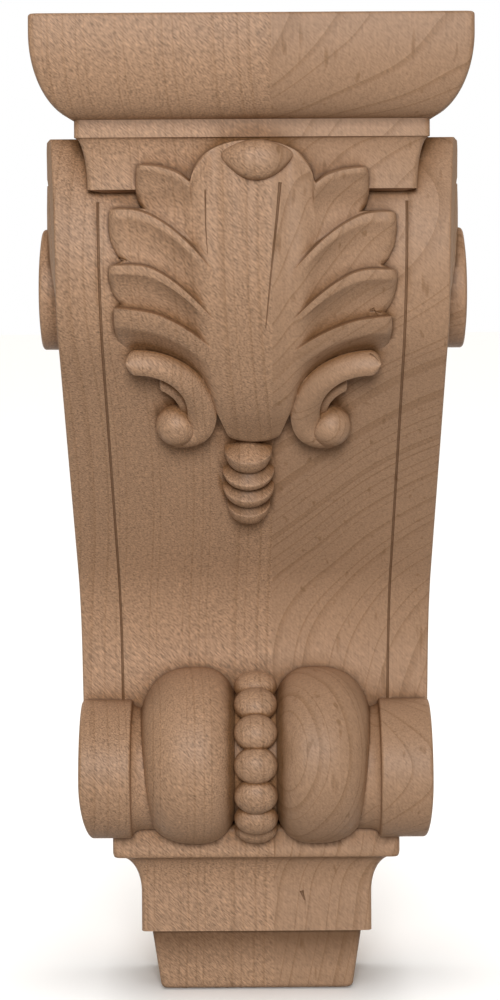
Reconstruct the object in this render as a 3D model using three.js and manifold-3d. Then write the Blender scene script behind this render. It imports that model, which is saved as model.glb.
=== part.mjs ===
// A carved wooden corbel bracket with a leaf, a bead drop and a turned roll, in millimetres, +Z up.
// The flat back lies on the plane y = 0, the carved front faces -Y, and the origin is the middle of the back.
// Depth is counted forward from the back and level is counted up from the foot.
import * as THREE from "three";
import { mergeVertices } from "three/addons/utils/BufferGeometryUtils.js";
import { LoftGeometry } from "three/addons/geometries/LoftGeometry.js";
import Module from "manifold-3d";

const wasm = await Module();
wasm.setup();

// Overall size
const HEIGHT = 368.3;
const CAP_WIDTH = 152.4;
const CAP_DEPTH = 152.4;

// Cap and neck
const CAP_EDGE_ROUND = 1.2;
const CORNER_ROUND = 2;
const OVOLO_TOP = 361.8;
const OVOLO_BULGE = 17.5;
const OVOLO_HEIGHT = 29.8;
const FILLET_INSET = 14.5;
const FILLET_BOTTOM = 326.3;
const COVE_REACH = 4.2;
const NECK_BOTTOM = 308.3;
const NECK_CHAMFER = 2.4;

// Foot and plinth
const PLINTH_HALF = 54.6;
const PLINTH_DEPTH = 52;
const PLINTH_TOP = 67.5;
const TORUS_BOTTOM = 55.1;
const TORUS_ROUND = 2.6;
const TORUS_QUIRK = 0.9;
const BLOCK_TOP = 39.2;
const BLOCK_INSET = 10.4;
const FOOT_TOP = 24.5;
const FOOT_INSET = 14.1;
const FOOT_TAPER = 3.2;
const FOOT_EDGE_ROUND = 2.6;

// Scroll body
const VOLUTE_DEPTH = 72;
const VOLUTE_LEVEL = 285;
const VOLUTE_RADIUS = 60;
const FACE_SLOPE = THREE.MathUtils.degToRad(38);
const WAIST_DEPTH = 43;
const WAIST_LEVEL = 131;
const BODY_BOTTOM = 62;
const BODY_TOP = 326.6;
const BODY_HALF_LOW = 66.1;
const BODY_HALF_LEVEL = 115;
const BODY_TAPER = 0.0175;
const CHEEK_HALF = 76.5;
const CHEEK_BREAK = 0.6;
const CHEEK_FADE_LOW = 247;
const CHEEK_FADE_HIGH = 287;
const EYE_DEPTH = 70;
const EYE_LEVEL = 272.1;
const EYE_RADIUS = 22.4;
const EYE_RIM_HALF = 78;
const EYE_CROWN = 1.2;
const EYE_EDGE_ROUND = 1.2;
const EYE_RINGS = [0.5, 0];

// Lines cut in the face and round the cheeks
const LINE_INSET = 15.4;
const LINE_WIDTH = 1.9;
const LINE_LOW = 113;
const LINE_HIGH = 304;
const SPIRAL_WIDTH = 2.6;
const SPIRAL_LIFT = 0.2;
const SPIRAL_TURNS = 1.25;
const SPIRAL_START = 45;
const SPIRAL_END = 26.5;

// Turned roll
const ROLL_DEPTH = 48;
const EGG_LEVEL = 93.7;
const EGG_RADIUS = 33.1;
const EGG_CENTRE = 22;
const EGG_INNER = { length: 16.7, power: 3 };
const EGG_OUTER = { length: 21.4, power: 3.5 };
const WAIST_RADIUS = 22.5;
const BAND_RADIUS = 23;
const BAND_HALF = 8;
const END_LEVEL = 88.6;
const END_RADIUS = 25.9;
const END_INNER = 46.8;
const END_OUTER = 66.2;
const END_ROUND = 1.4;
const END_TAPER_LEFT = 3.8;
const END_TAPER_RIGHT = 1.7;
const BEAD_HALF = 8.2;
const BEAD_REACH = 5.8;
const BEAD_LENGTH = 7;
const BEAD_CIRCLE = 27.4;
const BEAD_PITCH = THREE.MathUtils.degToRad(25);
const BEAD_COUNT = 7;
const BEAD_TURN = THREE.MathUtils.degToRad(3.4);

// Leaf
const LEAF_BURY = 6;
const STEM_BOTTOM = 217.5;
const STEM_TOP = 325;
const STEM_SIDE = [
  { level: STEM_BOTTOM, depth: 101 },
  { level: 227, depth: 113 },
  { level: 248, depth: 128.5 },
  { level: 271, depth: 138 },
  { level: 296, depth: 141 },
  { level: STEM_TOP, depth: 141.5 },
];
const STEM_HALF_LOW = 12.2;
const STEM_HALF_HIGH = 22;
const STEM_DOME = 23;
const STEM_DOME_POWER = 2.2;
const STEM_CALYX = 8;
const STEM_CAMBER = 8.2;
const STEM_CAMBER_POWER = 2.4;
const FLUTE_DEPTH = 0.9;
const FLUTE_COUNT = 3;
const LIP = { x: 1.2, depth: 142, level: 318, half: 10.8, reach: 7, rise: 6.6 };
const LOBE_DIVE = 6;
const LOBE_DIVE_POWER = 4;
const LOBE_HOLLOW = 1.5;
const LOBE_EDGE = 1.1;
const EDGE_POWER = 4;
const LOBE_BRIM = 0.86;
const LOBE_BEND = 0.42;
const LOBE_CREST_END = { start: 0.82, power: 3.2 };
const LOBE_HEEL_END = { start: 0.62, power: 2.2 };
const LOBE_ROOT = [
  { x: 12, level: 292, depth: 136.5, above: 9, below: 9 },
  { x: 10, level: 267, depth: 134.5, above: 8, below: 6 },
  { x: 8, level: 250.5, depth: 127, above: 8, below: 5 },
  { x: 7, level: 237, depth: 117, above: 7, below: 6 },
];
const LOBE_TIP = [
  { x: 40.5, level: 310.4, depth: 137, above: 6.8, below: 10, tilt: 2.2, fall: 4 },
  { x: 50.4, level: 293.4, depth: 136, above: 8.8, below: 11.4, tilt: 2.4, fall: 2.8 },
  { x: 50.2, level: 275.8, depth: 136, above: 8, below: 10, tilt: 2.4, fall: 2.8 },
  { x: 49, level: 260.1, depth: 131.2, above: 7.8, below: 8.4, tilt: 2.4, fall: 2.8 },
];
const LOBE_DROP_RIGHT = [1.2, 1.4, 1.9, 3.4];
const BALL = { x: 26.6, level: 223.2, radius: 7.1, relief: 3 };
const CURL = { inner: 7.6, outer: 29, power: 2.9, half: 4.2, thin: 1.4, blunt: 0.05, relief: 9.6, tilt: 1.3 };
const CURL_DROP_RIGHT = 0.6;
const CURL_THINNING = 0.45;
const CURL_START = THREE.MathUtils.degToRad(126);
const CURL_FINISH = THREE.MathUtils.degToRad(-95);
const DROP_X = -2;
const DROP_RELIEF = 1;
const DROP_BEADS = [
  { level: 212.4, half: 8.6, rise: 6.8, reach: 7.2 },
  { level: 205, half: 9.8, rise: 6.6, reach: 7.2 },
  { level: 197.2, half: 9.3, rise: 6.6, reach: 6.8 },
  { level: 190.2, half: 8.2, rise: 6.4, reach: 6.2 },
];

// Facet counts
const ARC_STEPS = 7;
const LOBE_STEPS = 10;
const EGG_STEPS = 10;
const ROUND_STEPS = 3;
const TURN_STEPS = 22;
const BALL_STEPS = [11, 7];
const NEAR_END = 0.996;
const END_CROWDING = 1.5;
const STRIP_STEPS = 6;
const PATH_STEP = 0.01;
const WELD = 1e-4;
const WOOD_COLOUR = 0xb88a62;

const at = (x, depth, level) => new THREE.Vector3(x, -depth, level - HEIGHT / 2);
const mix = THREE.MathUtils.lerp;
const ease = (value, low, high) => THREE.MathUtils.smoothstep(value, low, high);
const spread = (count) => Array.from({ length: count + 1 }, (_, index) => index / count);

// A closed surface becomes a solid that faces outward
function solid(geometry) {
  const plain = new THREE.BufferGeometry().copy(geometry);
  plain.deleteAttribute("normal");
  plain.deleteAttribute("uv");
  const welded = mergeVertices(plain, WELD);
  const index = Uint32Array.from(welded.index.array);
  const vertProperties = Float32Array.from(welded.attributes.position.array);
  const corner = (number) => new THREE.Vector3().fromArray(vertProperties, index[number] * 3);
  const kept = [];
  let volume = 0;
  for (let face = 0; face < index.length; face += 3) {
    if (new Set(index.slice(face, face + 3)).size === 3) {
      kept.push(index[face], index[face + 1], index[face + 2]);
      volume += corner(face).dot(corner(face + 1).cross(corner(face + 2)));
    }
  }
  if (volume < 0) {
    kept.reverse();
  }
  return new wasm.Manifold(new wasm.Mesh({ numProp: 3, vertProperties, triVerts: Uint32Array.from(kept) }));
}

// A skin through sections, closed at each end on the middle of its last section
function loft(sections) {
  const closing = (section) => {
    const middle = section.reduce((sum, point) => sum.add(point), new THREE.Vector3());
    middle.divideScalar(section.length);
    return section.map(() => middle);
  };
  const last = sections[sections.length - 1];
  return solid(new LoftGeometry([closing(sections[0]), ...sections, closing(last)]));
}

const join = (solids) => solids.reduce((whole, next) => whole.add(next));

// A turned form on an axis that runs across the corbel, from a profile of radius and x
function turned(profile, depth, level, trim = (x) => x) {
  const points = profile.map(([radius, x]) => new THREE.Vector2(Math.max(radius, 0), x));
  const geometry = new THREE.LatheGeometry(points, TURN_STEPS);
  geometry.rotateZ(-Math.PI / 2);
  const places = geometry.attributes.position;
  for (let number = 0; number < places.count; number += 1) {
    places.setX(number, trim(places.getX(number), places.getZ(number)));
  }
  geometry.translate(0, -depth, level - HEIGHT / 2);
  return solid(geometry);
}

// An ellipsoid that reaches forward, tipped up or down about the line across the corbel
function ball(x, depth, level, half, reach, rise, tip = 0) {
  const geometry = new THREE.SphereGeometry(1, BALL_STEPS[0], BALL_STEPS[1]);
  geometry.rotateX(Math.PI / 2);
  geometry.scale(half, reach, rise);
  geometry.rotateX(-tip);
  const centre = at(x, depth, level);
  geometry.translate(centre.x, centre.y, centre.z);
  return solid(geometry);
}

// A block moulded on its front and two sides, from rows of level and inset
function moulded(half, depth, corner, rows) {
  const quarter = spread(ROUND_STEPS).map((step) => step * Math.PI / 2);
  const sections = rows.map(([level, inset]) => {
    const width = half - inset;
    const front = depth - inset;
    const right = quarter.map((turn) => at(
      width - corner + corner * Math.sin(turn), front - corner + corner * Math.cos(turn), level));
    const left = quarter.map((turn) => at(
      -width + corner - corner * Math.cos(turn), front - corner + corner * Math.sin(turn), level));
    return [at(-width, 0, level), ...left, ...right, at(width, 0, level)];
  });
  return loft(sections);
}

function cap() {
  const round = spread(ROUND_STEPS).map((step) => step * Math.PI / 2);
  const ovoloEnd = Math.acos(1 - FILLET_INSET / OVOLO_BULGE);
  const rows = [[NECK_BOTTOM - NECK_CHAMFER, FILLET_INSET + COVE_REACH + NECK_CHAMFER]];
  for (const step of spread(ARC_STEPS)) {
    const turn = (1 - step) * Math.PI / 2;
    rows.push([NECK_BOTTOM + (FILLET_BOTTOM - NECK_BOTTOM) * Math.cos(turn),
      FILLET_INSET + COVE_REACH * Math.sin(turn)]);
  }
  for (const step of spread(ARC_STEPS)) {
    const turn = (1 - step) * ovoloEnd;
    rows.push([OVOLO_TOP - OVOLO_HEIGHT * Math.sin(turn), OVOLO_BULGE * (1 - Math.cos(turn))]);
  }
  for (const turn of round) {
    rows.push([HEIGHT - CAP_EDGE_ROUND * (1 - Math.sin(turn)), CAP_EDGE_ROUND * (1 - Math.cos(turn))]);
  }
  return moulded(CAP_WIDTH / 2, CAP_DEPTH, CORNER_ROUND, rows);
}

function plinth() {
  const rows = [];
  const round = spread(ROUND_STEPS).map((step) => step * Math.PI / 2);
  for (const turn of round) {
    rows.push([FOOT_EDGE_ROUND * (1 - Math.cos(turn)),
      FOOT_INSET + FOOT_TAPER + FOOT_EDGE_ROUND * (1 - Math.sin(turn))]);
  }
  rows.push([FOOT_TOP, FOOT_INSET]);
  rows.push([FOOT_TOP, BLOCK_INSET]);
  for (const step of spread(ARC_STEPS)) {
    const turn = step * Math.PI / 2;
    rows.push([BLOCK_TOP + (TORUS_BOTTOM - BLOCK_TOP) * Math.sin(turn),
      TORUS_QUIRK + (BLOCK_INSET - TORUS_QUIRK) * Math.cos(turn)]);
  }
  for (const turn of round) {
    rows.push([TORUS_BOTTOM + TORUS_ROUND * (1 - Math.cos(turn)), TORUS_QUIRK * (1 - Math.sin(turn))]);
  }
  for (const turn of round) {
    rows.push([PLINTH_TOP - TORUS_ROUND * (1 - Math.sin(turn)), TORUS_ROUND * (1 - Math.cos(turn))]);
  }
  return moulded(PLINTH_HALF, PLINTH_DEPTH, CORNER_ROUND, rows);
}

// The S profile: a round volute, a straight slope and a hollow that ends upright at the waist
const SLOPE = Math.tan(FACE_SLOPE);
const SLOPE_TOP = {
  depth: VOLUTE_DEPTH + VOLUTE_RADIUS * Math.cos(FACE_SLOPE),
  level: VOLUTE_LEVEL - VOLUTE_RADIUS * Math.sin(FACE_SLOPE),
};
const HOLLOW_RADIUS = (SLOPE * (SLOPE_TOP.level - WAIST_LEVEL) - (SLOPE_TOP.depth - WAIST_DEPTH))
  / (SLOPE * Math.sin(FACE_SLOPE) - 1 + Math.cos(FACE_SLOPE));
const SLOPE_LOW = WAIST_LEVEL + HOLLOW_RADIUS * Math.sin(FACE_SLOPE);

function faceDepth(level) {
  if (level > SLOPE_TOP.level) {
    return VOLUTE_DEPTH + Math.sqrt(VOLUTE_RADIUS ** 2 - (level - VOLUTE_LEVEL) ** 2);
  }
  if (level > SLOPE_LOW) {
    return SLOPE_TOP.depth - SLOPE * (SLOPE_TOP.level - level);
  }
  const rise = Math.max(level - WAIST_LEVEL, 0);
  return WAIST_DEPTH + HOLLOW_RADIUS - Math.sqrt(HOLLOW_RADIUS ** 2 - rise ** 2);
}

const faceHalf = (level) => BODY_HALF_LOW + BODY_TAPER * (level - BODY_HALF_LEVEL);

// Half width of the body, which flares backward from the front edge round the volute
function cheekHalf(level, depth) {
  const back = (VOLUTE_DEPTH + VOLUTE_RADIUS - depth) / VOLUTE_RADIUS;
  const flare = ease(level, CHEEK_FADE_LOW, CHEEK_FADE_HIGH) * THREE.MathUtils.clamp(back, 0, 1);
  return mix(faceHalf(level), CHEEK_HALF, flare);
}

function body() {
  const topTurn = Math.asin((BODY_TOP - VOLUTE_LEVEL) / VOLUTE_RADIUS);
  const levels = [BODY_BOTTOM, BODY_HALF_LEVEL, WAIST_LEVEL];
  for (const step of spread(ARC_STEPS).slice(1)) {
    levels.push(WAIST_LEVEL + HOLLOW_RADIUS * Math.sin(FACE_SLOPE * step));
  }
  levels.push((SLOPE_LOW + SLOPE_TOP.level) / 2);
  for (const step of spread(2 * ARC_STEPS)) {
    levels.push(VOLUTE_LEVEL + VOLUTE_RADIUS * Math.sin(mix(-FACE_SLOPE, topTurn, step)));
  }
  const sections = levels.map((level) => {
    const front = faceDepth(level);
    const middle = Math.min(VOLUTE_DEPTH, CHEEK_BREAK * front);
    const stations = [0, middle, front];
    const right = stations.map((depth) => at(cheekHalf(level, depth), depth, level));
    const left = stations.map((depth) => at(-cheekHalf(level, depth), depth, level));
    return [...right, ...left.reverse()];
  });
  return loft(sections);
}

function eye(side) {
  const profile = [[0, BODY_HALF_LOW], [EYE_RADIUS, BODY_HALF_LOW]];
  for (const step of spread(ROUND_STEPS)) {
    const turn = step * Math.PI / 2;
    profile.push([EYE_RADIUS - EYE_EDGE_ROUND * (1 - Math.cos(turn)),
      EYE_RIM_HALF - EYE_EDGE_ROUND * (1 - Math.sin(turn))]);
  }
  for (const step of EYE_RINGS) {
    profile.push([EYE_RADIUS * step, EYE_RIM_HALF + EYE_CROWN * (1 - step ** 2)]);
  }
  return turned(profile.map(([radius, x]) => [radius, side * x]), EYE_DEPTH, EYE_LEVEL);
}

// A thin cutter that follows a path, to cut a line in a surface
function cutter(points, width, steps) {
  const section = new THREE.Shape();
  section.absarc(0, 0, width / 2, 0, 2 * Math.PI);
  const path = new THREE.CatmullRomCurve3(points);
  return solid(new THREE.ExtrudeGeometry(section, {
    steps, curveSegments: ROUND_STEPS, bevelEnabled: false, extrudePath: path,
  }));
}

function faceLine(side) {
  const points = spread(2 * ARC_STEPS).map((step) => {
    const level = mix(LINE_LOW, LINE_HIGH, step);
    return at(side * (faceHalf(level) - LINE_INSET), faceDepth(level), level);
  });
  return cutter(points, LINE_WIDTH, 2 * ARC_STEPS);
}

function spiral(side) {
  const points = spread(5 * ARC_STEPS).map((step) => {
    const turn = -FACE_SLOPE + step * SPIRAL_TURNS * 2 * Math.PI;
    const radius = mix(SPIRAL_START, SPIRAL_END, step);
    const depth = EYE_DEPTH + radius * Math.cos(turn);
    const level = EYE_LEVEL + radius * Math.sin(turn);
    return at(side * (cheekHalf(level, depth) + SPIRAL_LIFT), depth, level);
  });
  return cutter(points, SPIRAL_WIDTH, 3 * ARC_STEPS);
}

function roll() {
  const egg = spread(EGG_STEPS).map((step) => {
    const along = 2 * step - 1;
    const turn = Math.abs(along) * Math.PI / 2;
    const { length, power } = along < 0 ? EGG_INNER : EGG_OUTER;
    const radius = EGG_RADIUS * Math.max(Math.cos(turn), 0) ** (2 / power);
    return [radius, EGG_CENTRE + Math.sign(along) * length * Math.sin(turn) ** (2 / power)];
  });
  const end = [
    [0, END_INNER],
    [END_RADIUS - END_ROUND, END_INNER],
    [END_RADIUS, END_INNER + END_ROUND],
    [END_RADIUS, END_OUTER - END_ROUND],
    [END_RADIUS - END_ROUND, END_OUTER],
    [0, END_OUTER],
  ];
  const drum = (radius, half) => [[0, -half], [radius, -half], [radius, half], [0, half]];
  const forms = [
    turned(drum(WAIST_RADIUS, END_INNER), ROLL_DEPTH, (EGG_LEVEL + END_LEVEL) / 2),
    turned(drum(BAND_RADIUS, BAND_HALF), ROLL_DEPTH, EGG_LEVEL),
  ];
  for (const side of [-1, 1]) {
    const taper = side > 0 ? END_TAPER_RIGHT : END_TAPER_LEFT;
    const trim = (x, rise) => {
      const outer = Math.abs(x) > (END_INNER + END_OUTER) / 2;
      return outer ? x - side * taper * (Math.min(rise, 0) / END_RADIUS) ** 2 : x;
    };
    forms.push(turned(egg.map(([radius, x]) => [radius, side * x]), ROLL_DEPTH, EGG_LEVEL));
    forms.push(turned(end.map(([radius, x]) => [radius, side * x]), ROLL_DEPTH, END_LEVEL, trim));
  }
  for (let number = 0; number < BEAD_COUNT; number += 1) {
    const turn = BEAD_TURN + (number - (BEAD_COUNT - 1) / 2) * BEAD_PITCH;
    const depth = ROLL_DEPTH + BEAD_CIRCLE * Math.cos(turn);
    const level = EGG_LEVEL + BEAD_CIRCLE * Math.sin(turn);
    forms.push(ball(0, depth, level, BEAD_HALF, BEAD_REACH, BEAD_LENGTH, turn));
  }
  return join(forms);
}

// Level and depth of the leaf's middle line, from the calyx up to the turned-over lip
const STEM_LINE = new THREE.SplineCurve(
  STEM_SIDE.map(({ level, depth }) => new THREE.Vector2(level, depth)));

function stem() {
  const across = spread(2 * ARC_STEPS).map((step) => 2 * step - 1);
  const sections = spread(2 * ARC_STEPS).map((step) => {
    const share = mix(1 - NEAR_END, NEAR_END, (1 - Math.cos(Math.PI * step)) / 2);
    const middle = STEM_LINE.getPoint(share);
    const level = middle.x;
    const widen = mix(STEM_HALF_LOW, STEM_HALF_HIGH, ease(level, STEM_BOTTOM, STEM_TOP - STEM_DOME));
    const dome = Math.max(level - (STEM_TOP - STEM_DOME), 0) / STEM_DOME;
    const calyx = Math.max(STEM_BOTTOM + STEM_CALYX - level, 0) / STEM_CALYX;
    const half = widen * Math.sqrt(1 - dome ** STEM_DOME_POWER) * Math.sqrt(1 - calyx ** 2);
    const base = Math.min(faceDepth(level), middle.y) - LEAF_BURY;
    const top = across.map((place) => {
      const flute = FLUTE_DEPTH * (1 - Math.abs(Math.cos(place * FLUTE_COUNT * Math.PI / 2)));
      const camber = STEM_CAMBER * Math.abs(place) ** STEM_CAMBER_POWER;
      return at(LIP.x * dome + half * place, middle.y - camber - FLUTE_DEPTH + flute, level);
    });
    return [at(-half, base, level), ...top, at(half, base, level)];
  });
  const lip = ball(LIP.x, LIP.depth, LIP.level, LIP.half, LIP.reach, LIP.rise);
  return loft(sections).add(lip);
}

// How far an edge has closed in where the end of a lobe is rounded
function rounding(share, { start, power }) {
  const past = Math.max(share - start, 0) / (1 - start);
  return (1 - past ** power) ** (1 / power);
}

// A leaf lobe that overlaps the one below it: a proud crest along its upper edge and a hollow face
function lobe(side, root, tip) {
  const across = [1, LOBE_BRIM, LOBE_BRIM / 2, 0, -LOBE_BRIM / 2, -LOBE_BRIM, -1];
  const spine = new THREE.QuadraticBezierCurve(
    new THREE.Vector2(root.x, root.level),
    new THREE.Vector2(mix(root.x, tip.x, LOBE_BEND), tip.level),
    new THREE.Vector2(tip.x, tip.level));
  const sections = spread(LOBE_STEPS).map((step) => {
    const share = 1 - (1 - NEAR_END * step) ** END_CROWDING;
    const centre = spine.getPoint(share);
    const along = spine.getTangent(share);
    const taper = rounding(share, LOBE_HEEL_END);
    const grow = ease(share, 0, LOBE_HEEL_END.start);
    const above = mix(root.above, tip.above, grow) * rounding(share, LOBE_CREST_END);
    const below = mix(root.below, tip.below, grow) * taper;
    const dive = LOBE_DIVE * (1 - share) ** LOBE_DIVE_POWER;
    const middle = mix(root.depth, tip.depth, Math.sin(share * Math.PI / 2)) - dive;
    const point = (place, depth) => {
      const offset = place * (place > 0 ? above : below);
      return at(side * (centre.x - along.y * offset), depth, centre.y + along.x * offset);
    };
    const base = faceDepth(centre.y) - LEAF_BURY;
    const top = across.map((place) => {
      const edge = LOBE_EDGE * Math.max(Math.abs(place) - LOBE_BRIM, 0) / (1 - LOBE_BRIM);
      const lean = place > 0 ? tip.tilt : tip.fall;
      const relief = (lean * place - LOBE_HOLLOW * (1 - place ** 2)) * taper * grow;
      return point(place, middle + relief - edge);
    });
    return [point(1, base), ...top, point(-1, base)];
  });
  return loft(sections);
}

// The lowest lobe, which winds inward and down round a ball
function curl(side) {
  const drop = side > 0 ? CURL_DROP_RIGHT : 0;
  const centre = BALL.level - drop;
  const across = spread(STRIP_STEPS).map((step) => 1 - 2 * step);
  const path = (step) => {
    const turn = mix(CURL_START, CURL_FINISH, step);
    const radius = mix(CURL.inner, CURL.outer, Math.max(1 - step, 0) ** CURL.power);
    return new THREE.Vector2(BALL.x - radius * Math.cos(turn), centre + radius * Math.sin(turn));
  };
  const sections = spread(2 * ARC_STEPS).map((even) => {
    const step = even ** END_CROWDING;
    const middle = path(step);
    const along = path(step + PATH_STEP).sub(path(step - PATH_STEP)).normalize();
    const blunt = Math.max(CURL.blunt - step, 0) / CURL.blunt;
    const width = mix(CURL.half, CURL.thin, ease(step, CURL_THINNING, 1));
    const half = width * Math.sqrt(1 - NEAR_END * blunt ** 2);
    const point = (place, depth) => at(
      side * (middle.x - along.y * half * place), depth, middle.y + along.x * half * place);
    const face = faceDepth(middle.y);
    const top = across.map((place) => point(
      place, face + CURL.relief - CURL.tilt * place - LOBE_EDGE * place ** EDGE_POWER));
    return [point(1, face - LEAF_BURY), ...top, point(-1, face - LEAF_BURY)];
  });
  return loft(sections).add(
    ball(side * BALL.x, faceDepth(centre) + BALL.relief, centre, BALL.radius, BALL.radius, BALL.radius));
}

function leaf() {
  const forms = [stem()];
  for (const side of [-1, 1]) {
    LOBE_ROOT.forEach((root, number) => {
      const tip = LOBE_TIP[number];
      const drop = side > 0 ? LOBE_DROP_RIGHT[number] : 0;
      forms.push(lobe(side, { ...root, level: root.level - drop / 2 }, { ...tip, level: tip.level - drop }));
    });
    forms.push(curl(side));
  }
  for (const { level, half, rise, reach } of DROP_BEADS) {
    forms.push(ball(DROP_X, faceDepth(level) + DROP_RELIEF, level, half, reach, rise));
  }
  return join(forms);
}

const lines = join([-1, 1].flatMap((side) => [faceLine(side), spiral(side)]));
const block = join([body(), cap(), plinth(), roll()]).subtract(lines);
const carved = join([block, eye(-1), eye(1), leaf()]);

const surface = carved.getMesh();
const geometry = new THREE.BufferGeometry();
geometry.setAttribute("position", new THREE.BufferAttribute(Float32Array.from(surface.vertProperties), 3));
geometry.setIndex(Array.from(surface.triVerts));
geometry.computeVertexNormals();

const material = new THREE.MeshStandardMaterial({ color: WOOD_COLOUR, roughness: 0.55, metalness: 0 });
material.name = "wood";
const corbel = new THREE.Mesh(geometry, material);
corbel.name = "corbel";

const group = new THREE.Group();
group.name = "corbel_bracket";
group.add(corbel);

export default group;
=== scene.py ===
import math

import bmesh
import bpy
import numpy as np
from mathutils import Matrix
from mathutils.bvhtree import BVHTree


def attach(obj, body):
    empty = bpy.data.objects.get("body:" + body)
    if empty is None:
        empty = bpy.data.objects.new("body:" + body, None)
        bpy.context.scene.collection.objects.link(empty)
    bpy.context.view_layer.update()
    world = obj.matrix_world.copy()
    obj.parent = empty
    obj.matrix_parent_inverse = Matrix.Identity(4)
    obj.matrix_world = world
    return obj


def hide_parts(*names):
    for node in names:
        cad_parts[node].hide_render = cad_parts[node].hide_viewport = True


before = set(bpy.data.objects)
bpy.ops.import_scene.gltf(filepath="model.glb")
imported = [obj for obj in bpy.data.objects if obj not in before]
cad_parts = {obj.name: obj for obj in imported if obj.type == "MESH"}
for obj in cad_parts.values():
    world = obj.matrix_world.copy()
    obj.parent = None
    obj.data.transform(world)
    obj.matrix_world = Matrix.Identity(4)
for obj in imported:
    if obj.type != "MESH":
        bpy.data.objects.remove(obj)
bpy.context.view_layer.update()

# The blank: maple boards glued side by side, sawn on the bandsaw to an S-shaped scroll.
# A round volute carries the leaf, a straight slope runs down and back to an upright waist.
# Sizes are millimetres; depth is counted forward from the wall, level up from the foot.
HEIGHT = 368.3
VOLUTE_DEPTH, VOLUTE_LEVEL, VOLUTE_RADIUS = 72.0, 285.0, 60.0
FACE_SLOPE = math.radians(38)
WAIST_DEPTH, WAIST_LEVEL = 43.0, 131.0
BODY_BOTTOM, BODY_TOP = 67.0, 326.6
BODY_HALF_LOW, BODY_HALF_LEVEL, BODY_TAPER = 66.1, 115.0, 0.0175
CHEEK_HALF, CHEEK_FADE_LOW, CHEEK_FADE_HIGH = 76.5, 247.0, 287.0
ARRIS_ROUND = 0.9
WAIST_ROWS, HOLLOW_ROWS, SLOPE_ROWS, VOLUTE_ROWS = 32, 36, 12, 56
CHEEK_STEPS, ARRIS_STEPS, FACE_STEPS = 18, 4, 24
TO_METRES = 0.001
SAME_PLACE, NO_LENGTH = 1e-6, 1e-7


def at(x, depth, level):
    return (x * TO_METRES, -depth * TO_METRES, (level - HEIGHT / 2) * TO_METRES)


def both_sides(right, level):
    """A ring at one level from points of x and depth on the right, mirrored to the left."""
    ring = [at(x, depth, level) for x, depth in right]
    return ring + [at(-x, depth, level) for x, depth in reversed(right)]


def mix(low, high, share):
    return low + (high - low) * share


def ease(value, low, high):
    share = min(max((value - low) / (high - low), 0.0), 1.0)
    return share * share * (3 - 2 * share)


def spread(count):
    return [number / count for number in range(count + 1)]


def quarter_turn(count):
    return [step * math.pi / 2 for step in spread(count)]


def added(name, data):
    made = bpy.data.objects.new(name, data)
    bpy.context.scene.collection.objects.link(made)
    return made


def worked(piece):
    """The plain mesh that a piece has once its modifiers are carried out."""
    bpy.context.view_layer.update()
    return bpy.data.meshes.new_from_object(
        piece.evaluated_get(bpy.context.evaluated_depsgraph_get()))


def solid(name, points, faces):
    mesh = bpy.data.meshes.new(name)
    mesh.from_pydata(points, [], faces)
    shaped = bmesh.new()
    shaped.from_mesh(mesh)
    bmesh.ops.remove_doubles(shaped, verts=shaped.verts, dist=SAME_PLACE)
    bmesh.ops.dissolve_degenerate(shaped, edges=shaped.edges, dist=NO_LENGTH)
    bmesh.ops.recalc_face_normals(shaped, faces=shaped.faces)
    if shaped.calc_volume(signed=True) < 0:
        bmesh.ops.reverse_faces(shaped, faces=shaped.faces)
    shaped.to_mesh(mesh)
    shaped.free()
    return added(name, mesh)


def skin(name, sections):
    """A closed skin through rings of equal length, each end closed on its own middle."""
    ring = len(sections[0])
    points = [point for section in sections for point in section]
    faces = []
    for row in range(len(sections) - 1):
        for place in range(ring):
            after = (place + 1) % ring
            faces.append((row * ring + place, row * ring + after,
                          (row + 1) * ring + after, (row + 1) * ring + place))
    for row in (0, len(sections) - 1):
        middle = tuple(np.mean(sections[row], axis=0))
        points.append(middle)
        for place in range(ring):
            faces.append((row * ring + place, row * ring + (place + 1) % ring, len(points) - 1))
    return solid(name, points, faces)


def combine(whole, tools, operation="UNION"):
    """Joins tools to a piece, or cuts them from it, and takes the tools away."""
    for tool in tools:
        step = whole.modifiers.new("join", "BOOLEAN")
        step.operation = operation
        step.solver = "MANIFOLD"
        step.object = tool
        shaped = worked(whole)
        whole.modifiers.remove(step)
        whole.data = shaped
        bpy.data.objects.remove(tool)


SLOPE = math.tan(FACE_SLOPE)
SLOPE_TOP_DEPTH = VOLUTE_DEPTH + VOLUTE_RADIUS * math.cos(FACE_SLOPE)
SLOPE_TOP_LEVEL = VOLUTE_LEVEL - VOLUTE_RADIUS * math.sin(FACE_SLOPE)
HOLLOW_RADIUS = ((SLOPE * (SLOPE_TOP_LEVEL - WAIST_LEVEL) - (SLOPE_TOP_DEPTH - WAIST_DEPTH))
                 / (SLOPE * math.sin(FACE_SLOPE) - 1 + math.cos(FACE_SLOPE)))
SLOPE_LOW_LEVEL = WAIST_LEVEL + HOLLOW_RADIUS * math.sin(FACE_SLOPE)


def face_depth(level):
    if level > SLOPE_TOP_LEVEL:
        return VOLUTE_DEPTH + math.sqrt(max(VOLUTE_RADIUS ** 2 - (level - VOLUTE_LEVEL) ** 2, 0))
    if level > SLOPE_LOW_LEVEL:
        return SLOPE_TOP_DEPTH - SLOPE * (SLOPE_TOP_LEVEL - level)
    rise = max(level - WAIST_LEVEL, 0)
    return WAIST_DEPTH + HOLLOW_RADIUS - math.sqrt(HOLLOW_RADIUS ** 2 - rise ** 2)


def face_half(level):
    return BODY_HALF_LOW + BODY_TAPER * (level - BODY_HALF_LEVEL)


def cheek_half(level, depth):
    back = (VOLUTE_DEPTH + VOLUTE_RADIUS - depth) / VOLUTE_RADIUS
    flare = ease(level, CHEEK_FADE_LOW, CHEEK_FADE_HIGH) * min(max(back, 0), 1)
    return mix(face_half(level), CHEEK_HALF, flare)


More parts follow.
